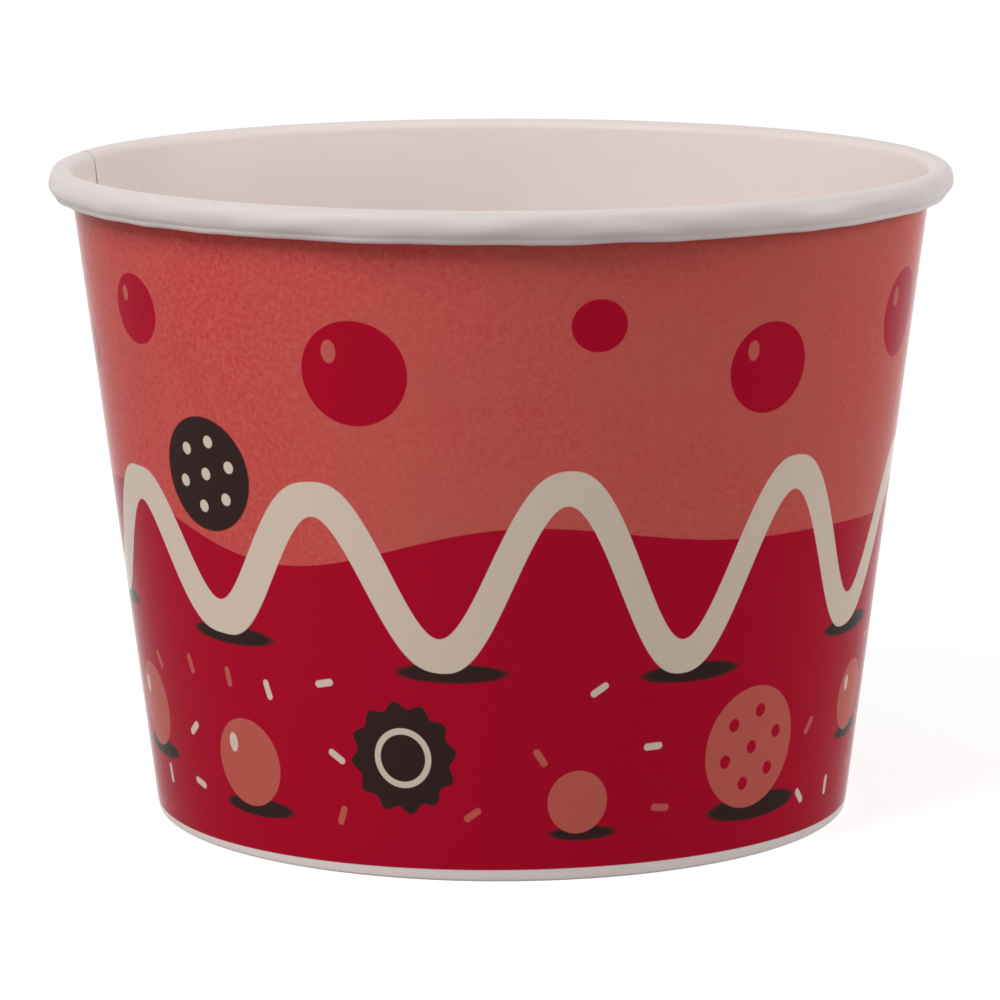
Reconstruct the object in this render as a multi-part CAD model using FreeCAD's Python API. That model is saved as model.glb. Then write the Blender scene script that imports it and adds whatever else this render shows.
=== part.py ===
import FreeCAD, Part
import math
import os
from collections import namedtuple

# A round paper cup for a scoop of dessert. Its side wall is wound from one board blank, lapped
# and glued down one side, rolled outwards at the rim and folded in at the foot. Its bottom is a
# disc whose turned-down skirt is held in the fold of the foot.
# Millimetres, Z up. The origin is the centre of the foot, on the surface the cup stands on.

# Overall sizes
rim_diameter = 115.0
foot_diameter = 89.2
height = 83.0

# Board, and the glue between two layers of it
wall_board = 0.35
bottom_board = 0.30
glue_line = 0.03

# Rolled rim: how far it stands out from the wall, how tall it is, the radius of its bulging
# face and how many degrees that face turns, the free room between the lapped layers inside it,
# and the length of its last straight stretch
roll_width = 3.1
roll_height = 4.1
roll_face_bend = 2.2
roll_face_turn = 60.0
roll_clearance = 0.15
roll_tail = 0.9

# Side seam, in degrees round the cup, seen from above and counted from +X towards +Y
inner_edge_angle = 166.0
lap_angle = 9.0
step_angle = 4.0

# Foot: the disc's height over the table, the insides of the bends, and the free lengths left
# above the folded-in edge and below the skirt
recess = 7.0
fold_bend = 0.08
disc_bend = 0.60
tuck_clearance = 1.2
skirt_clearance = 0.35

# Bends are drawn as short flats, which keeps the surfaces few: about how far each flat turns,
# in degrees
roll_flat_angle = 30.0
disc_flat_angle = 45.0
fold_flat_angle = 90.0

# Worked out from the sizes above
rim_radius = rim_diameter / 2
foot_radius = foot_diameter / 2
half_board = wall_board / 2
lean = math.atan2(rim_radius - roll_width - foot_radius, height - roll_height)
lean_degrees = math.degrees(lean)
skirt_step = half_board + glue_line + bottom_board / 2
tuck_step = wall_board + 2 * glue_line + bottom_board

ORIGIN = FreeCAD.Vector(0, 0, 0)
AXIS = FreeCAD.Vector(0, 0, 1)
Run = namedtuple("Run", "length")
Bend = namedtuple("Bend", "radius turn flat_angle")


def place(radius, level):
    """A point of the section, which is drawn in the XZ plane."""
    return FreeCAD.Vector(radius, 0, level)


def ahead_of(heading):
    """The way ahead on a heading, which is in degrees from +X towards +Z."""
    angle = math.radians(heading)
    return FreeCAD.Vector(math.cos(angle), 0, math.sin(angle))


def right_of(heading):
    """The way to the right of a heading."""
    return ahead_of(heading - 90)


def beside(path, distance):
    """Edges of the line that keeps a distance to the right of a path of runs and bends."""
    point, heading, moves = path
    edges = []
    for move in moves:
        if isinstance(move, Run):
            shift = right_of(heading) * distance
            end = point + ahead_of(heading) * move.length
            edges.append(Part.makeLine(point + shift, end + shift))
        else:
            reach = math.copysign(move.radius, move.turn)
            centre = point - right_of(heading) * reach
            flats = round(abs(move.turn) / move.flat_angle)
            turns = [heading + move.turn * flat / flats for flat in range(flats + 1)]
            corners = [centre + right_of(turn) * (reach + distance) for turn in turns]
            edges += [Part.makeLine(*ends) for ends in zip(corners, corners[1:])]
            heading += move.turn
            end = centre + right_of(heading) * reach
        point = end
    return edges


def board_section(left_path, right_path, board):
    """Outline from half a board left of one path to half a board right of another."""
    left = beside(left_path, -board / 2)
    right = beside(right_path, board / 2)
    starts = [edges[0].firstVertex().Point for edges in (left, right)]
    ends = [edges[-1].lastVertex().Point for edges in (left, right)]
    return Part.Wire([*left, Part.makeLine(*ends), *right[::-1], Part.makeLine(*starts[::-1])])


def wall_middle(level):
    """Radius of the middle of the wall's board at a level."""
    return foot_radius + level * math.tan(lean) - half_board / math.cos(lean)


def wall_path(step):
    """Middle line of the wall's board where it lies a step outside the first layer.

    It runs from the cut edge inside the foot, down behind the skirt, under it, up the wall,
    over the crown of the roll, down its bulging face, round its lip and up again inside.
    """
    slant = math.cos(lean)
    rise = math.sin(lean)

    # The fold of the foot is pressed flat, whatever the number of layers
    bend = fold_bend + half_board
    corner_level = half_board + bend
    tuck_top = recess - tuck_clearance
    heading = -90 - lean_degrees
    start = place(wall_middle(tuck_top) - tuck_step / slant, tuck_top) + right_of(heading) * step
    fold_flat = (tuck_step + 2 * step - 2 * bend) / slant

    # The bulging face bends on from the crown, which meets the wall, and runs straight into the
    # lip, which leaves room inside for two more layers of board
    side_turn = 90 - roll_face_turn / 2
    out = math.sin(math.radians(side_turn))
    down = math.cos(math.radians(side_turn))
    crown_room = rim_radius - half_board - wall_middle(height - half_board)
    crown_bend = (crown_room - roll_face_bend * (1 - out)) / ((1 - rise) / slant + out)
    crown_level = height - half_board - crown_bend
    face_end_radius = rim_radius - half_board - roll_face_bend * (1 - out)
    face_end_level = crown_level - (2 * roll_face_bend - crown_bend) * down
    lip_bottom = height - roll_height + half_board
    lip_drop = face_end_level - lip_bottom
    tail_step = 3 * wall_board + roll_clearance
    lip_room = face_end_radius - wall_middle(lip_bottom) - lip_drop * down / out - tail_step / slant
    lip_bend = lip_room / ((1 + rise) / slant + (1 - down) / out)
    face_flat = (lip_drop - lip_bend * (1 - down)) / out

    wall_low = corner_level - bend * rise
    wall_high = crown_level + (crown_bend - step) * rise
    moves = [
        Run((start.z - corner_level - bend * rise) / slant),
        Bend(bend, 90 + lean_degrees, fold_flat_angle),
        Run(fold_flat),
        Bend(bend, 90 - lean_degrees, fold_flat_angle),
        Run((wall_high - wall_low) / slant),
        Bend(crown_bend - step, lean_degrees - 90, roll_flat_angle),
        Bend(crown_bend - step, -side_turn, roll_flat_angle),
        Bend(roll_face_bend - step, -roll_face_turn, roll_flat_angle),
        Run(face_flat),
        Bend(lip_bend - step, -side_turn, roll_flat_angle),
        Bend(lip_bend - step, -90 - lean_degrees, roll_flat_angle),
        Run(roll_tail),
    ]
    return start, heading, moves


def sector(section, start_angle, span):
    """The part of the wall that a section sweeps out round the axis."""
    face = Part.Face(section)
    face.rotate(ORIGIN, AXIS, start_angle)
    return face.revolve(ORIGIN, AXIS, span)


def turned(section, angle):
    """A copy of a section, turned round the axis."""
    wire = section.copy()
    wire.rotate(ORIGIN, AXIS, angle)
    return wire


def side_wall():
    """One blank: the long single layer, the glued lap, and the short step that joins them."""
    first_layer = wall_path(0)
    second_layer = wall_path(wall_board)
    single = board_section(first_layer, first_layer, wall_board)
    double = board_section(first_layer, second_layer, wall_board)
    outer = board_section(second_layer, second_layer, wall_board)

    step_end = inner_edge_angle + step_angle
    wall = sector(single, step_end, 360 - step_angle - lap_angle)
    lap = sector(double, inner_edge_angle - lap_angle, lap_angle)
    step = Part.makeLoft([turned(outer, inner_edge_angle), turned(single, step_end)], True, True)
    return wall.fuse([lap, step]).removeSplitter()


def bottom_disc():
    """A flat disc with its edge turned down along the wall."""
    bend = disc_bend + bottom_board / 2
    disc_level = recess + bottom_board / 2
    bend_level = disc_level - bend
    bend_radius = wall_middle(bend_level) - (skirt_step + bend) / math.cos(lean)
    skirt_end = wall_board + skirt_clearance
    skirt_start = bend_level - bend * math.sin(lean)
    moves = [
        Run(bend_radius),
        Bend(bend, -90 - lean_degrees, disc_flat_angle),
        Run((skirt_start - skirt_end) / math.cos(lean)),
    ]
    path = (place(0, disc_level), 0, moves)
    return sector(board_section(path, path, bottom_board), 0, 360)


def main():
    os.makedirs("parts", exist_ok=True)
    for name, shape in (("side_wall", side_wall()), ("bottom_disc", bottom_disc())):
        shape.exportStep("parts/" + name + ".step")
        print(name, "solids", len(shape.Solids), "valid", shape.isValid(),
              "volume", round(shape.Volume, 1), "faces", len(shape.Faces))


main()
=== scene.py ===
# %% [markdown]
# # A paper dessert cup
# The real cup is two pieces of board. The side wall is a printed blank, wound into a tapered
# tube with its ends lapped, rolled outwards at the rim and folded in at the foot. The bottom is
# a white disc with a turned-down skirt, held in that fold. The frame gives the place and the
# outer size of both, and these cells dress them.

# %% Load the frame
import bmesh
import bpy
import math
from mathutils import Matrix, Vector, noise


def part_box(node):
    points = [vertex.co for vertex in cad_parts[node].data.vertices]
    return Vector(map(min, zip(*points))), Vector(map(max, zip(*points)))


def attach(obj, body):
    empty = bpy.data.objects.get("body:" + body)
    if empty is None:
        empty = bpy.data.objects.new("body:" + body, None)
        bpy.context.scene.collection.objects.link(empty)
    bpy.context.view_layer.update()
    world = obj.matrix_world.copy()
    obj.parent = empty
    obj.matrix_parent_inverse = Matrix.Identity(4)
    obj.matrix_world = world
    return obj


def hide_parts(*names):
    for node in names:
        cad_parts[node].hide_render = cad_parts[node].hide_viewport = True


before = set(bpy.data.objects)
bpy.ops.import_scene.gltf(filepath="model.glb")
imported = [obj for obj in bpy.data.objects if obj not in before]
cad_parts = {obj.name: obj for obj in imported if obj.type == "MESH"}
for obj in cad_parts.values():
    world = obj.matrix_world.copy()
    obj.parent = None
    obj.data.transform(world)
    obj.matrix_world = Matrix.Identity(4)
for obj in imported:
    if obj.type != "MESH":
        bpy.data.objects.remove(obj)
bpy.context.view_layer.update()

# %% [markdown]
# ## Sizes
# Board is thin, so its thickness and the tight bends it makes are what the eye reads as paper.
# The overall sizes come from the frame's side wall. The rest are the sizes that a maker would
# set: the board, the width, height and bulge of the rolled rim, the lap of the seam, and the
# fold of the foot. Lengths are in metres, because Blender works in metres.

# %% Sizes of the cup
MM = 0.001
_, wall_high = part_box("side_wall")
rim_radius = wall_high.x
height = wall_high.z
foot_radius = 44.6 * MM
wall_board = 0.35 * MM
bottom_board = 0.30 * MM
glue_line = 0.03 * MM
roll_width = 3.1 * MM
roll_height = 4.1 * MM
roll_face_bend = 2.2 * MM
roll_face_turn = math.radians(60)
roll_clearance = 0.15 * MM
roll_tail = 0.9 * MM
recess = 7.0 * MM
fold_bend = 0.08 * MM
disc_bend = 0.60 * MM
tuck_clearance = 1.2 * MM
skirt_clearance = 0.35 * MM
inner_edge_angle = 166
lap_angle = 9
step_angle = 4

half_board = wall_board / 2
lean = math.atan2(rim_radius - roll_width - foot_radius, height - roll_height)
slant = math.cos(lean)
rise = math.sin(lean)
print("the wall leans", round(math.degrees(lean), 2), "degrees")

# %% [markdown]
# ## A pen for folded board
# Folded board is straight runs joined by round bends, so both pieces start as one line of edges
# in the XZ plane. A line like this could be typed as a list of points, but then every bend would
# be worked out by hand. Here the pen extrudes its tip along a run and spins it round a bend, so
# the drawing reads as the folding does. The pen's right side is the printed side of the blank.

# %% The pen
def turned_right(way, angle):
    """A direction in the XZ plane, turned clockwise as seen from the front."""
    return Matrix.Rotation(angle, 3, "Y") @ way


class Pen:
    """Draws runs and bends in the XZ plane. Turns are in radians, and right is positive."""

    def __init__(self, bm, start, way):
        self.bm = bm
        self.tip = bm.verts.new(start)
        self.way = way

    def run(self, length, steps=1):
        for _ in range(steps):
            self.tip = bmesh.ops.extrude_vert_indiv(self.bm, verts=[self.tip])["verts"][0]
            self.tip.co += self.way * (length / steps)

    def bend(self, radius, turn, steps):
        side = turned_right(self.way, math.copysign(math.pi / 2, turn))
        spun = bmesh.ops.spin(self.bm, geom=[self.tip], cent=self.tip.co + side * radius,
                              axis=(0, 1, 0), angle=turn, steps=steps)
        self.tip = [item for item in spun["geom_last"] if isinstance(item, bmesh.types.BMVert)][0]
        self.way = turned_right(self.way, turn)


def wall_middle(level):
    """Radius of the middle of the wall's board at a level."""
    return foot_radius + level * math.tan(lean) - half_board / slant


def angle_round(point):
    """Angle round the cup, in degrees from +X towards +Y."""
    return math.degrees(math.atan2(point.y, point.x))


def eased(share):
    """Goes smoothly from 0 to 1 while its input does, and stays there outside."""
    share = min(max(share, 0), 1)
    return share * share * (3 - 2 * share)


# %% [markdown]
# ## The line of the blank
# The line runs from the cut edge inside the foot down behind the skirt, under it, up the wall,
# over the crown of the rolled rim, down its bulging face, round its lip and up again inside the
# roll. The crown bends on into the face, and the face runs straight into the lip, so the radius
# of both follows from the width and height of the roll. The lip leaves room inside for two more
# layers of board at the lap.

# %% Draw the blank's line
fold_steps = 6
roll_steps = 16
low_stretch = 1.5 * MM


def draw_blank(bm):
    bend = fold_bend + half_board
    corner_level = half_board + bend
    tuck_top = recess - tuck_clearance
    tuck_step = wall_board + 2 * glue_line + bottom_board
    start = Vector((wall_middle(tuck_top) - tuck_step / slant, 0, tuck_top))

    side_turn = math.pi / 2 - roll_face_turn / 2
    out, down = math.sin(side_turn), math.cos(side_turn)
    crown_room = rim_radius - half_board - wall_middle(height - half_board)
    crown_bend = (crown_room - roll_face_bend * (1 - out)) / ((1 - rise) / slant + out)
    crown_level = height - half_board - crown_bend
    face_end_radius = rim_radius - half_board - roll_face_bend * (1 - out)
    face_end_level = crown_level - (2 * roll_face_bend - crown_bend) * down
    lip_bottom = height - roll_height + half_board
    lip_drop = face_end_level - lip_bottom
    inside = (3 * wall_board + roll_clearance) / slant
    lip_room = face_end_radius - wall_middle(lip_bottom) - lip_drop * down / out - inside
    lip_bend = lip_room / ((1 + rise) / slant + (1 - down) / out)
    face_flat = (lip_drop - lip_bend * (1 - down)) / out
    wall_length = (crown_level + crown_bend * rise - corner_level + bend * rise) / slant

    pen = Pen(bm, start, Vector((-rise, 0, -slant)))
    pen.run((tuck_top - corner_level - bend * rise) / slant, steps=4)
    pen.bend(bend, -math.pi / 2 - lean, fold_steps)
    pen.run((tuck_step - 2 * bend) / slant)
    pen.bend(bend, -math.pi / 2 + lean, fold_steps)
    pen.run(low_stretch, steps=3)
    pen.run(wall_length - low_stretch, steps=20)
    pen.bend(crown_bend, math.pi / 2 - lean + side_turn, roll_steps)
    pen.bend(roll_face_bend, roll_face_turn, roll_steps)
    pen.run(face_flat, steps=6)
    pen.bend(lip_bend, side_turn + math.pi / 2 + lean, roll_steps)
    pen.run(roll_tail, steps=2)
    bends = (crown_bend, roll_face_bend, lip_bend)
    print("bends of the roll in mm:", [round(radius / MM, 2) for radius in bends])
    return crown_level


# %% [markdown]
# ## Winding the blank
# The blank goes round the cup once and a little more, and its two ends lie on each other. So the
# line is spun through more than a full turn, and nothing is merged: first the outer layer of
# the lap with the short step where it comes off the inner one, and then the long way round to
# the inner cut edge. The sheet is moved out by one board thickness in the lap. At the foot the
# lap stays flat, and the inner layer is pressed up over it. The hot tools that glue and roll a
# real cup also press the inner layer thinner along its cut edge, to half on the wall and nearly
# to nothing on the roll, so a weight on each vertex says how much of its thickness is gone.
# Angles past the start of the lap are counted with a little slack, so that rounding can't send
# its first row of vertices once round the cup.

# %% Wind the blank
press_angle = 3
press_reach = 2 * MM
wall_press = 0.5
roll_press = 0.96
edge_slack = 1


def spin_line(bm, geom, degrees):
    return bmesh.ops.spin(bm, geom=geom, cent=(0, 0, 0), axis=(0, 0, 1),
                          angle=math.radians(degrees), steps=degrees, use_merge=False)["geom_last"]


def reach_over_wall(point):
    """How far a point lies outside the middle of the wall at its level."""
    return Vector((point.x, point.y, 0)).length - wall_middle(point.z)


def thickness_gone(point, past, crown_level):
    """Share of the inner layer's thickness that is pressed away near its cut edge."""
    on_crown = eased((point.z - crown_level) / press_reach + 1)
    on_face = eased(2 * reach_over_wall(point) / roll_width)
    press = wall_press + (roll_press - wall_press) * max(on_crown, on_face)
    return press * eased((past - lap_angle) / press_angle + 1)


def wound_blank():
    bm = bmesh.new()
    pressed = bm.verts.layers.deform.verify()
    crown_level = draw_blank(bm)
    lap_start = inner_edge_angle - lap_angle
    bmesh.ops.rotate(bm, verts=bm.verts, matrix=Matrix.Rotation(math.radians(lap_start), 3, "Z"))
    last = spin_line(bm, bm.verts[:] + bm.edges[:], lap_angle + step_angle)
    lap = set(bm.verts)
    spin_line(bm, last, 360 - step_angle)

    bm.normal_update()
    sample = max(bm.faces, key=lambda face: face.calc_area())
    if sample.normal.dot(sample.calc_center_median() * Vector((1, 1, 0))) < 0:
        bmesh.ops.reverse_faces(bm, faces=bm.faces)
    bm.normal_update()

    fold_top = 3 * wall_board
    moves = {}
    for vert in bm.verts:
        past = (angle_round(vert.co) - lap_start + edge_slack) % 360 - edge_slack
        flat = 1 - eased((vert.co.z - half_board) / fold_top)
        gone = thickness_gone(vert.co, past, crown_level)
        if vert in lap:
            raised = 1 - eased((past - lap_angle) / step_angle)
            out = (wall_board * (1 - gone) + glue_line) * raised
            moves[vert] = vert.normal * Vector((1, 1, 1 - flat)) * out
        elif past < lap_angle + step_angle / 2:
            under = eased(1 + past / step_angle)
            vert[pressed][0] = gone
            moves[vert] = (Vector((0, 0, wall_board * flat * under))
                           - vert.normal * Vector((1, 1, 1 - flat)) * (half_board * gone))
    for vert, move in moves.items():
        vert.co += move
    return bm, crown_level


# %% [markdown]
# ## A roll that was really rolled
# A rolled rim is never a perfect ring. Its lip wavers up and down a little, and its face is
# pressed in here and there. Just above the lip runs a shallow crease, where the rolling tool
# turned the board under, and it is deepest at the two sides. The waver is noise read at the
# angle round the cup and the height. All of this only moves board inwards or up, so the cup
# keeps its outer size.

# %% Unevenness of the rim
lip_waver = 0.30 * MM
face_waver = 0.34 * MM
lip_pitch, ripple_pitch = 9 * MM, 3.5 * MM
ripple_share = 0.35
dent_pitch, dent_tall = 8 * MM, 2.5 * MM
crease_depth = 0.24 * MM
crease_reach = 0.30 * MM
crease_rise = 0.75 * MM
crease_pitch = 14 * MM
least_at_front = 0.35
least_along = 0.6


def waver(point, pitch, seed, tall=0):
    """Smooth noise from 0 to 1 round the cup, at about one swell for each pitch."""
    ring = Vector((point.x, point.y, 0)).normalized() * (rim_radius / pitch)
    level = point.z / tall if tall else 0
    return min(max(0.5 + noise.noise(ring + Vector((seed, 0, seed + level))), 0), 1)


def press_rim(bm, crown_level):
    lip = crown_level - height + roll_height
    crease_level = height - roll_height + crease_rise
    for vert in bm.verts:
        over = reach_over_wall(vert.co)
        on_roll = eased(over / roll_width)
        if vert.co.z > height - 1.5 * roll_height and on_roll > 0:
            sideways = abs(vert.co.x) / Vector((vert.co.x, vert.co.y, 0)).length
            crease = math.exp(-((vert.co.z - crease_level) / crease_reach) ** 2)
            crease *= least_at_front + (1 - least_at_front) * sideways ** 2
            crease *= least_along + (1 - least_along) * waver(vert.co, crease_pitch, seed=9.2)
            dent = face_waver * waver(vert.co, dent_pitch, seed=5.3, tall=dent_tall)
            inwards = on_roll * (dent + crease_depth * crease)
            low = eased((crown_level - vert.co.z) / lip)
            lift = (1 - ripple_share) * waver(vert.co, lip_pitch, seed=3.1)
            lift += ripple_share * waver(vert.co, ripple_pitch, seed=7.7)
            vert.co.z += lip_waver * on_roll * low * lift
            share = inwards / Vector((vert.co.x, vert.co.y, 0)).length
            vert.co.x -= vert.co.x * share
            vert.co.y -= vert.co.y * share


# %% [markdown]
# ## From a sheet to board
# The Solidify modifier gives the sheet its thickness, half to each side, and can give each side
# a material of its own: the printed face, the white lining and the raw cut edge. It takes the
# pressed edge's weights as a vertex group. The result is made a plain mesh, so that the cut
# edges can be marked sharp while the bends stay smooth.

# %% Give board its thickness
sharp_angle = math.radians(40)


def board_piece(name, bm, thickness, finishes):
    sheet = bpy.data.meshes.new(name + "_sheet")
    bm.to_mesh(sheet)
    bm.free()
    piece = bpy.data.objects.new(name, sheet)
    bpy.context.collection.objects.link(piece)
    for finish in finishes:
        sheet.materials.append(finish)
    solid = piece.modifiers.new("board", "SOLIDIFY")
    solid.thickness = thickness
    solid.offset = 0
    solid.material_offset = 1
    solid.material_offset_rim = 2
    solid.vertex_group = piece.vertex_groups.new(name="pressed").name
    solid.invert_vertex_group = True
    depsgraph = bpy.context.evaluated_depsgraph_get()
    mesh = bpy.data.meshes.new_from_object(piece.evaluated_get(depsgraph))
    piece.modifiers.clear()
    piece.data = mesh
    mesh.name = name

    bm = bmesh.new()
    bm.from_mesh(mesh)
    for face in bm.faces:
        face.smooth = True
    for edge in bm.edges:
        edge.smooth = edge.calc_face_angle(0) < sharp_angle
    open_edges = sum(not edge.is_manifold for edge in bm.edges)
    bm.to_mesh(mesh)
    bm.free()
    print(name, "faces", len(mesh.polygons), "open edges", open_edges)
    return piece


# %% [markdown]
# ## The bottom disc
# The disc is a flat round of white board whose edge is turned down along the wall. Its line
# starts on the axis, and a full spin that merges its start and end closes it.

# %% Turn the bottom disc
disc_steps = 240
weld_distance = 0.001 * MM


def turned_disc():
    bend = disc_bend + bottom_board / 2
    level = recess + bottom_board / 2
    bend_level = level - bend
    skirt_step = half_board + glue_line + bottom_board / 2
    flat = wall_middle(bend_level) - (skirt_step + bend) / slant
    skirt = (bend_level - bend * rise - wall_board - skirt_clearance) / slant

    bm = bmesh.new()
    pen = Pen(bm, Vector((0, 0, level)), Vector((1, 0, 0)))
    pen.run(flat, steps=12)
    pen.bend(bend, math.pi / 2 + lean, steps=8)
    pen.run(skirt, steps=4)
    bmesh.ops.spin(bm, geom=bm.verts[:] + bm.edges[:], cent=(0, 0, 0), axis=(0, 0, 1),
                   angle=2 * math.pi, steps=disc_steps, use_merge=True)
    bmesh.ops.remove_doubles(bm, verts=bm.verts, dist=weld_distance)
    bmesh.ops.recalc_face_normals(bm, faces=bm.faces)
    return bm


# %% [markdown]
# ## Shader formulas
# A print is easiest to write as formulas on the surface. A Field stands for one output of a
# node, and a sum on it adds the Math node that works it out.

# %% Fields
class Field:
    """One output of a shader node, which takes part in sums."""

    def __init__(self, finish, socket):
        self.finish = finish
        self.socket = socket

    def math(self, operation, *values):
        return self.finish.node("ShaderNodeMath", {"operation": operation}, values)

    def __add__(self, other):
        return self.math("ADD", self, other)

    def __radd__(self, other):
        return self.math("ADD", other, self)

    def __sub__(self, other):
        return self.math("SUBTRACT", self, other)

    def __rsub__(self, other):
        return self.math("SUBTRACT", other, self)

    def __mul__(self, other):
        return self.math("MULTIPLY", self, other)

    def __rmul__(self, other):
        return self.math("MULTIPLY", other, self)

    def __truediv__(self, other):
        return self.math("DIVIDE", self, other)

    def __abs__(self):
        return self.math("ABSOLUTE", self)

    def __gt__(self, other):
        return self.math("GREATER_THAN", self, other)

    def least(self, other):
        return self.math("MINIMUM", self, other)

    def most(self, other):
        return self.math("MAXIMUM", self, other)

    def sine(self):
        return self.math("SINE", self)

    def root(self):
        return self.math("SQRT", self)

    def clamped(self):
        return self.finish.node("ShaderNodeClamp", {}, [self])


# %% [markdown]
# ## Finishes
# A Finish holds the nodes of one material or of the world. Any node that isn't a sum comes from
# its node method, which takes the node's type, its settings and what goes into its sockets. What
# goes in may be a number, a colour or a Field.

# %% Finishes
class Finish:
    """The nodes of a material or a world."""

    def __init__(self, owner):
        owner.use_nodes = True
        self.owner = owner
        self.tree = owner.node_tree

    def feed(self, socket, value):
        if isinstance(value, Field):
            self.tree.links.new(value.socket, socket)
        else:
            socket.default_value = value

    def node(self, kind, settings, inputs, output=0):
        node = self.tree.nodes.new(kind)
        for name, value in settings.items():
            setattr(node, name, value)
        for key, value in inputs.items() if isinstance(inputs, dict) else enumerate(inputs):
            self.feed(node.inputs[key], value)
        return Field(self, node.outputs[output])

    def vector(self, operation, inputs, output="Vector"):
        return self.node("ShaderNodeVectorMath", {"operation": operation}, inputs, output)

    def split(self, vector):
        return [self.node("ShaderNodeSeparateXYZ", {}, [vector], axis) for axis in "XYZ"]

    def join(self, *parts):
        return self.node("ShaderNodeCombineXYZ", {}, parts)

    def mix(self, share, under, over):
        """A colour that goes from under to over as share goes from 0 to 1."""
        return self.node("ShaderNodeMix", {"data_type": "RGBA"}, {0: share, 6: under, 7: over}, 2)

    def cloud(self, place, size, detail=2.0):
        """Noise about 0.5 whose blotches are about a size across."""
        inputs = {"Vector": place, "Scale": 1 / size, "Detail": detail}
        return self.node("ShaderNodeTexNoise", {}, inputs)

    def relief(self, height_field, depth):
        inputs = {"Height": height_field, "Distance": depth}
        return self.node("ShaderNodeBump", {}, inputs, "Normal")

    def surface(self, **inputs):
        """Sets the sockets of the material's Principled shader by their names."""
        for name, value in inputs.items():
            self.feed(self.tree.nodes["Principled BSDF"].inputs[name.replace("_", " ")], value)
        return self.owner


def new_finish(name):
    finish = Finish(bpy.data.materials.new(name))
    place = finish.node("ShaderNodeTexCoord", {}, {}, "Object")
    return finish, place


# %% [markdown]
# ## White board
# The lining and the disc are white board under a thin film. Seen close, the film is slightly
# uneven and the white is a little warm. On the roll the board was bent tightly, which leaves fine
# ridge marks across it, and there its white is also mixed darker as painted shade. The ridge marks
# are noise read at the angle round the cup, so they lie across the roll everywhere. The cut edges
# are rougher, with more fibre, as no film covers them.

# %% White finishes
white = (0.82, 0.73, 0.70, 1)
shaded_white = (0.785, 0.69, 0.653, 1)
# Painted shade: a darker white for the rolled rim, standing in for less light falling on the roll.
roll_white_painted_shade = (0.68, 0.612, 0.595, 1)
fibre_white = (0.68, 0.62, 0.585, 1)
fibre_size = 0.9 * MM
film_size = 7 * MM
fibre_share, dulling = 0.3, 0.25
ridge_pitch = 0.9 * MM
ridge_share = 0.6
ridge_stretch = 0.2


def turn_of(x, y):
    """Angle of a direction, in radians from +X towards +Y."""
    return y.math("ARCTAN2", y, x)


def past_wall(finish, x, y, z):
    """How far outside the middle of the wall's board a point of a material lies."""
    widening = (wall_middle(height) - wall_middle(0)) / height
    from_axis = finish.vector("LENGTH", [finish.join(x, y, 0)], "Value")
    return from_axis - (z * widening + wall_middle(0))


def white_board(name, bright, dull, roughness, fibre_depth, roll_ridges_and_shade):
    finish, place = new_finish(name)
    fibres = finish.cloud(place, fibre_size, detail=4.0)
    film = finish.cloud(place, film_size)
    mottled = film * (1 - fibre_share) + fibres * fibre_share - dulling
    colour = finish.mix(mottled.clamped(), dull, bright)
    relief = fibres * 0.5 + film
    if roll_ridges_and_shade:
        x, y, z = finish.split(place)
        across = finish.join(turn_of(x, y) * rim_radius, 0, z * ridge_stretch)
        on_roll = (past_wall(finish, x, y, z) / MM).clamped()
        relief = relief + on_roll * finish.cloud(across, ridge_pitch, detail=1.0) * ridge_share
        # Painted shade: on the roll the white is mixed towards the darker roll white.
        colour = finish.mix(on_roll, colour, roll_white_painted_shade)
    return finish.surface(Base_Color=colour, Roughness=roughness, Specular_IOR_Level=0.25,
                          Normal=finish.relief(relief, fibre_depth))


lining = white_board("white_lining", white, shaded_white, roughness=0.42,
                     fibre_depth=0.05 * MM, roll_ridges_and_shade=True)
cut_edge = white_board("cut_edge", shaded_white, fibre_white, roughness=0.8,
                       fibre_depth=0.15 * MM, roll_ridges_and_shade=False)

# %% [markdown]
# ## Where on the print
# The print is flat inks under a satin varnish. It could be an image, but formulas on the
# distance round the cup and the height stay sharp at any scale. The same motif runs twice round
# the cup, so the distance round wraps at half a turn. Distances here are in millimetres. Each
# shape is a distance to its outline, negative inside, and ink turns that into a soft-edged mask.

# %% Distances on the print
print_radius = 50.0
half_turn = math.pi * print_radius
ink_edge = 0.12

printed, place = new_finish("printed_board")
x, y, z = printed.split(place)
all_round = (turn_of(x, y) + math.pi / 2) * print_radius
around = all_round.math("WRAP", all_round, half_turn / 2, -half_turn / 2)
up = z / MM
spot = printed.join(around, up)


def ink(distance):
    """Share of ink where a distance to a shape's outline is negative inside it."""
    return (0.5 - distance / ink_edge).clamped()


def gap(across, level, point=spot):
    return printed.vector("DISTANCE", [point, (across, level, 0)], "Value")


def disc(across, level, radius):
    return gap(across, level) - radius


def ring(across, level, radius, width):
    return abs(gap(across, level) - radius) - width / 2


def oval(across, level, wide, tall):
    scale, offset = (1 / wide, 1 / tall, 0), (-across / wide, -level / tall, 0)
    scaled = printed.vector("MULTIPLY_ADD", [spot, scale, offset])
    return (printed.vector("LENGTH", [scaled], "Value") - 1) * min(wide, tall)


def joined(shapes):
    whole, *others = shapes
    for shape in others:
        whole = whole.least(shape)
    return whole


def swell(waves, phase):
    """A sine with a whole number of waves in the motif."""
    return (around * (2 * math.pi * waves / half_turn) + phase).sine()


print("the motif is", round(half_turn, 1), "mm wide")

# %% [markdown]
# ## The two fields
# Above is salmon, which on the real board isn't flat: a warmer ink lies over it in soft patches,
# and more of it towards one side. A grain of deep red follows that ink, so it is plain where
# the ink is thick and faint where it is thin. Below is flat crimson with a wavy top.

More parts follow.
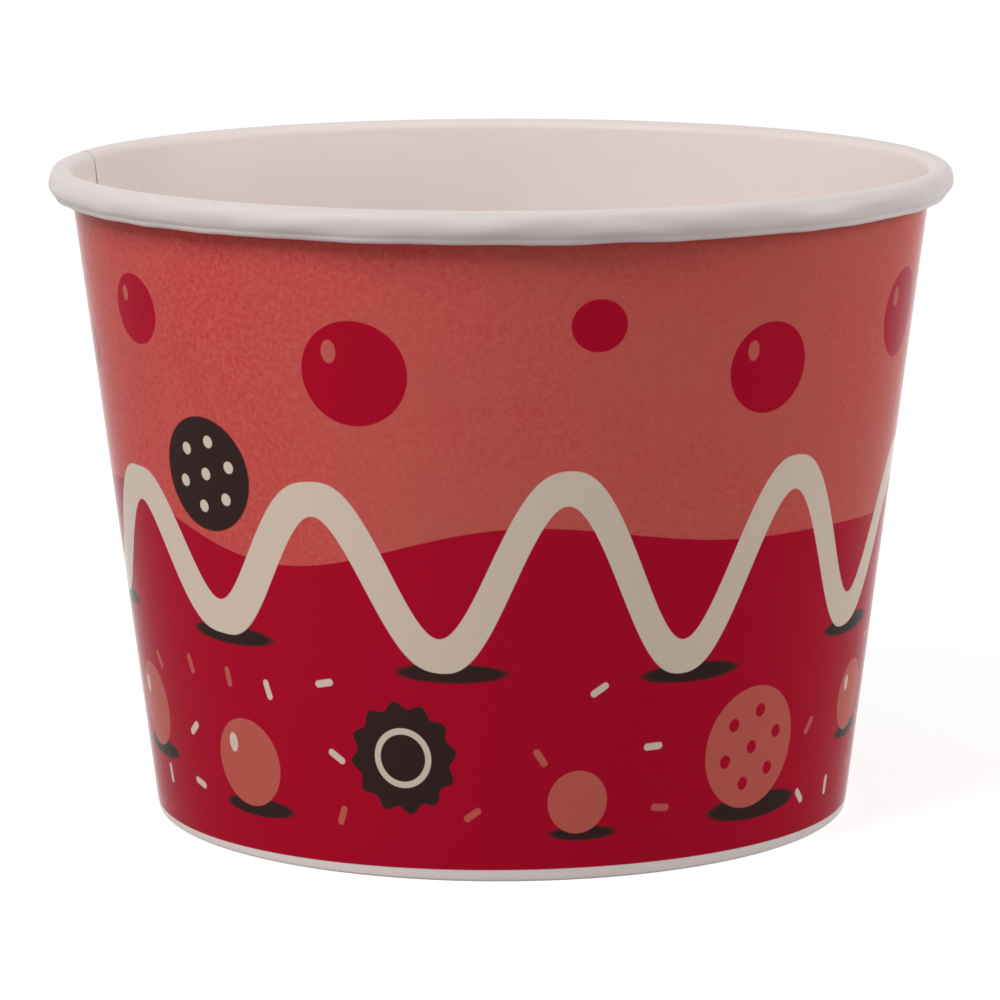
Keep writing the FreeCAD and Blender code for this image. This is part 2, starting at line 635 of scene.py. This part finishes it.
# %% Salmon and crimson
salmon = (0.54, 0.114, 0.088, 1)
warm_salmon = (0.675, 0.104, 0.092, 1)
grain_red = (0.48, 0.015, 0.030, 1)
crimson = (0.43, 0.0045, 0.024, 1)
patch_size = 20 * MM
patch_contrast = 1.4
mean_warmth, side_warmth = 0.38, 0.22
grain_size = 0.62 * MM
grain_threshold = 0.3
least_grain, grain_by_warmth = 0.28, 1.2
horizon_level = 42.0

patches = (printed.cloud(place, patch_size, detail=4.0) - 0.5) * patch_contrast
warmer = (patches + mean_warmth - side_warmth * swell(1, phase=0.4)).clamped()
colour = printed.mix(warmer, salmon, warm_salmon)
specks = printed.cloud(place, grain_size) - grain_threshold
grain = specks * (least_grain + warmer * grain_by_warmth)
colour = printed.mix(grain.clamped(), colour, grain_red)

horizon = horizon_level + 2.2 * swell(2, phase=0.6) + 1.2 * swell(3, phase=2.0)
colour = printed.mix(ink(up - horizon), colour, crimson)

# %% [markdown]
# ## Places of the larger motifs
# The ribbon, the rosette and the discs get their places before anything is scattered, so that
# what is scattered can keep away from them. A circle is its place across and up, and its radius.

# %% Places of the larger motifs
swings, swing, swing_change, change_phase = 5, 9.0, 2.0, 0.8
ribbon_level, ribbon_width = 38.5, 4.3


def swing_at(across):
    return swing + swing_change * math.sin(2 * math.pi * across / half_turn + change_phase)


dips = [(count - 0.25) * half_turn / swings for count in range(-2, 3)]
dip_bottoms = [(dip, ribbon_level - swing_at(dip) - ribbon_width / 2) for dip in dips]
rosette_place = (-13.0, 15.5)
low_discs = [(-61, 16, 5.4), (-37, 12.5, 5.6), (10, 10, 4.0), (36, 14.5, 7.8), (61, 17, 4.6)]
shadow_shift = 1.5
print("dips of the ribbon at", [(round(across), round(level)) for across, level in dip_bottoms])

# %% [markdown]
# ## Sprinkles
# Short strokes are scattered over the crimson. Placing each by hand would be long, so the field
# is cut into cells with one stroke each, and White Noise gives every cell its own shift and
# turn. A stroke never reaches the edge of its cell, so none is cut off. Some are left out by
# chance, and so is every stroke whose middle is near a larger motif. The rest are cream or salmon.

# %% Sprinkles on the crimson
cream = (0.70, 0.575, 0.47, 1)
columns, rows = 18, 3
cell_wide, cell_tall = half_turn / columns, 8.0
first_row, half_field = 3.0, rows * cell_tall / 2
stroke_length, stroke_width = 2.6, 0.9
stroke_clearance = 0.4
farthest = 0.2
share_left_out = 0.2
share_cream = 0.45
rosette_room = 7.0
dip_room, dip_rise = 6.0, 3

cell_size = (cell_wide, cell_tall, 1)
from_corner = printed.vector("ADD", [spot, (half_turn / 2, -first_row, 0)])
counted = printed.vector("DIVIDE", [from_corner, cell_size])
cell = printed.vector("FLOOR", [counted])
chance = printed.node("ShaderNodeTexWhiteNoise", {"noise_dimensions": "3D"}, {"Vector": cell},
                      "Color")
shift_chance, rise_chance, turn_chance = printed.split(chance)
in_cell = printed.vector("SUBTRACT", [printed.vector("FRACTION", [counted]), (0.5, 0.5, 0)])
spread, least_shift = (2 * farthest, 2 * farthest, 0), (-farthest, -farthest, 0)
shift = printed.vector("MULTIPLY_ADD", [chance, spread, least_shift])
from_stroke = printed.vector("MULTIPLY", [printed.vector("SUBTRACT", [in_cell, shift]), cell_size])
lined_up = printed.node("ShaderNodeVectorRotate", {"rotation_type": "Z_AXIS"},
                        {"Vector": from_stroke, "Angle": turn_chance * math.pi})
along, off, _ = printed.split(lined_up)
past_end = (abs(along) - (stroke_length - stroke_width) / 2).most(0)
stroke = (past_end * past_end + off * off).root() - stroke_width / 2
sprinkled = abs(up - (first_row + half_field)) - half_field

in_field = printed.vector("ADD", [printed.vector("ADD", [cell, shift]), (0.5, 0.5, 0)])
corner = (-half_turn / 2, first_row, 0)
stroke_middle = printed.vector("MULTIPLY_ADD", [in_field, cell_size, corner])
reach = stroke_length / 2 + stroke_clearance
kept_clear = [(across, level - 0.15 * size, 1.2 * size) for across, level, size in low_discs]
kept_clear.append((*rosette_place, rosette_room))
kept_clear += [(across + shadow_shift, level + dip_rise, dip_room)
               for across, level in dip_bottoms]
clear = joined([gap(across, level, stroke_middle) - size - reach
                for across, level, size in kept_clear])
strokes = ink(stroke) * ink(sprinkled) * (rise_chance > share_left_out) * (clear > 0)
colour = printed.mix(strokes, colour, printed.mix(shift_chance > share_cream, cream, salmon))

# %% [markdown]
# ## The ribbon
# A cream ribbon swings up and down between the fields. Dividing by the length of its slope keeps
# its width the same on steep and level stretches. Flat dark shadows lie under its dips and under
# the low discs, a dark disc hangs over one dip, and a dark rosette stands between two of them.
# The dark ink has a thin brown border, where on a press it overlaps the other inks a little.

# %% Dark shapes and the ribbon
soot = (0.037, 0.020, 0.018, 1)
overlap_brown = (0.13, 0.018, 0.020, 1)
overlap = 0.14
shadow_wide, shadow_tall = 6.5, 1.1
disc_rise, disc_size = 20.0, 7.0
rosette_size, tooth_depth, teeth = 6.6, 0.45, 12
ring_size, ring_width = 3.4, 0.8


def dots(circle):
    """Seven dots on a disc: one in its middle and six round it."""
    across, level, size = circle
    from_middle, dot = 0.6 * size, 0.11 * size
    turns = [count * math.pi / 3 + 0.3 for count in range(6)]
    others = [(across + from_middle * math.cos(angle), level + from_middle * math.sin(angle))
              for angle in turns]
    return [disc(*centre, dot) for centre in [(across, level), *others]]


shadows = [oval(across + shadow_shift, level, shadow_wide, shadow_tall)
           for across, level in dip_bottoms]
dark_disc = (dip_bottoms[1][0], dip_bottoms[1][1] + disc_rise, disc_size)
from_rosette = printed.vector("SUBTRACT", [spot, (*rosette_place, 0)])
rosette_x, rosette_y, _ = printed.split(from_rosette)
rosette_wave = (turn_of(rosette_x, rosette_y) * teeth).sine()
rosette = gap(*rosette_place) - rosette_size - tooth_depth * rosette_wave

low_shadows = [oval(across + 0.2 * size, level - size, size, 0.2 * size)
               for across, level, size in low_discs]
dark = joined([*shadows, *low_shadows, disc(*dark_disc), rosette])
colour = printed.mix(ink(dark - overlap), colour, overlap_brown)
colour = printed.mix(ink(dark), colour, soot)

changing_swing = swing + swing_change * swell(1, change_phase)
middle = ribbon_level + changing_swing * swell(swings, phase=0)
per_mm = 2 * math.pi * swings / half_turn
slope = swing * per_mm * swell(swings, phase=math.pi / 2)
ribbon = abs(up - middle) / (slope * slope + 1).root() - ribbon_width / 2
cream_shapes = [ribbon, *dots(dark_disc), ring(*rosette_place, ring_size, ring_width)]
colour = printed.mix(ink(joined(cream_shapes)), colour, cream)

# %% [markdown]
# ## Discs
# Crimson discs float on the salmon, and salmon discs stand on the crimson over their shadows.
# Each of the larger ones has a short bright stroke near its edge, and the largest has dots.

# %% Discs on both fields
high_discs = [(-68, 61, 3.0), (-50, 68, 4.4), (-17, 63, 6.4), (11, 69, 3.2), (33, 62.5, 5.6),
              (61, 66, 5.6)]
largest = max(low_discs, key=lambda circle: circle[2])
smaller_discs = [circle for circle in low_discs if circle != largest]
smallest_gleaming = 4.2


def discs(circles):
    return joined([disc(*circle) for circle in circles])


def gleams(circles):
    return joined([oval(across - 0.45 * size, level + 0.4 * size, 0.14 * size, 0.22 * size)
                   for across, level, size in circles if size > smallest_gleaming])


layers = [(discs(high_discs), crimson), (gleams(high_discs), salmon),
          (discs(low_discs), salmon), (joined(dots(largest)), crimson),
          (gleams(smaller_discs), cream)]
for shape, over in layers:
    colour = printed.mix(ink(shape), colour, over)
print("discs on the salmon", len(high_discs), "and on the crimson", len(low_discs))

# %% [markdown]
# ## Edge and varnish
# The blank stays bare along its lower edge: in a narrow band above the foot, and on all that
# is folded in under the disc, which is where the same face lies inside the wall. Over the inks
# lies a satin varnish. It shines only where it is seen at a shallow angle, so its specular level
# is low, and the fibres under it make the border of that shine uneven.

# %% Bare edge and varnish
foot_band, band_waver = 1.3, 0.25
fold_inset = 0.5
weave_size, wave_size = 0.8 * MM, 14 * MM
varnish_depth = 0.05 * MM

bare_edge = up - foot_band - band_waver * swell(1, phase=1.0)
folded_in = past_wall(printed, x, y, z) / MM + fold_inset
colour = printed.mix(ink(joined([bare_edge, folded_in])), colour, white)
relief = printed.cloud(place, weave_size, detail=3.0) * 0.5 + printed.cloud(place, wave_size)
varnished = printed.surface(Base_Color=colour, Roughness=0.12, Specular_IOR_Level=0.012,
                            Normal=printed.relief(relief, varnish_depth))
print("nodes of the print:", len(printed.tree.nodes))

# %% [markdown]
# ## The two pieces
# Each dressed piece stands for its solid in the frame and rides on the one body.

# %% Make the pieces
blank, crown_level = wound_blank()
press_rim(blank, crown_level)
side_wall = board_piece("cup_side_wall", blank, wall_board, [varnished, lining, cut_edge])
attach(side_wall, "root")
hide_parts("side_wall")

bottom_disc = board_piece("cup_bottom_disc", turned_disc(), bottom_board,
                          [lining, lining, cut_edge])
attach(bottom_disc, "root")
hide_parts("bottom_disc")

# %% [markdown]
# ## Floor
# The floor looks white to the camera and in reflections. It adds only a part of that white
# itself, so the cup's soft shadow still shows on it.

# %% Floor
floor_radius = 0.6
floor_grey = 0.45
floor_glow = 0.76


def backdrop_rays(finish):
    """1 for rays from the camera, mirrors and glass, and 0 for the light on the cup."""
    kinds = ("Is Camera Ray", "Is Glossy Ray", "Is Transmission Ray")
    camera_ray, glossy_ray, glass_ray = (finish.node("ShaderNodeLightPath", {}, {}, kind)
                                         for kind in kinds)
    return (camera_ray + glossy_ray + glass_ray).clamped()


def grey(shade):
    return shade, shade, shade, 1


def add_floor():
    bm = bmesh.new()
    bmesh.ops.create_circle(bm, cap_ends=True, segments=96, radius=floor_radius)
    mesh = bpy.data.meshes.new("floor")
    bm.to_mesh(mesh)
    bm.free()
    floor = bpy.data.objects.new("floor", mesh)
    bpy.context.collection.objects.link(floor)
    finish, _ = new_finish("pale_floor")
    glow = finish.mix(backdrop_rays(finish), grey(0), grey(floor_glow))
    mesh.materials.append(finish.surface(Base_Color=grey(floor_grey), Roughness=0.9,
                                         Specular_IOR_Level=0.0, Emission_Color=glow,
                                         Emission_Strength=1.0))
    print("the floor's radius is", floor_radius, "m")


add_floor()

# %% [markdown]
# ## Light
# A large soft lamp stands at the front left, above the cup, and a second at its right. The
# world lights what they leave dark, and looks white to the camera and in reflections.

# %% Lamps and world
lamp_distance = 1.0
lamp_size = 0.5
world_light = 0.36


def add_lamp(name, around_degrees, up_degrees, watts):
    """An area lamp aimed at the cup. Its angle round is counted from the front to the right."""
    data = bpy.data.lights.new(name, "AREA")
    data.size = lamp_size
    data.energy = watts
    lamp = bpy.data.objects.new(name, data)
    aim = Vector((0, 0, height / 2))
    round_cup = Matrix.Rotation(math.radians(around_degrees), 3, "Z")
    upwards = Matrix.Rotation(-math.radians(up_degrees), 3, "X")
    lamp.location = aim + round_cup @ upwards @ Vector((0, -lamp_distance, 0))
    lamp.rotation_euler = (aim - lamp.location).to_track_quat("-Z", "Y").to_euler()
    bpy.context.collection.objects.link(lamp)
    print(name, "at", [round(side, 2) for side in lamp.location])


def light_world():
    world = bpy.data.worlds.new("studio")
    bpy.context.scene.world = world
    finish = Finish(world)
    colour = finish.mix(backdrop_rays(finish), grey(world_light), grey(1))
    finish.feed(finish.tree.nodes["Background"].inputs["Color"], colour)


add_lamp("key_lamp", around_degrees=-45, up_degrees=45, watts=6.8)
add_lamp("right_lamp", around_degrees=90, up_degrees=20, watts=4.1)
light_world()

# %% [markdown]
# ## Camera
# The photograph was taken with a long lens, from a little above the rim. These values come from
# fitting the outline of the rim, the wall and the foot to a camera. The focal length is in
# pixels of a picture 1000 pixels wide, and the cup's axis stands a little right of its middle.

# %% Camera
camera_distance = 0.60335
camera_level = 0.14612
camera_pitch = math.radians(10.058)
camera_roll = -0.00232
focal_px = 4750.9
picture_px = 1000
axis_px = 501.4

camera_data = bpy.data.cameras.new("camera")
camera_data.sensor_width = 36.0
camera_data.lens = focal_px / picture_px * camera_data.sensor_width
camera = bpy.data.objects.new("camera", camera_data)
yaw = math.atan((axis_px - picture_px / 2) / focal_px)
camera.matrix_world = (Matrix.Translation((0, -camera_distance, camera_level))
                       @ Matrix.Rotation(yaw, 4, "Z")
                       @ Matrix.Rotation(math.pi / 2 - camera_pitch, 4, "X")
                       @ Matrix.Rotation(camera_roll, 4, "Z"))
bpy.context.collection.objects.link(camera)
bpy.context.scene.camera = camera
bpy.context.scene.view_settings.view_transform = "Standard"
print("the lens is", round(camera_data.lens, 1), "mm long")
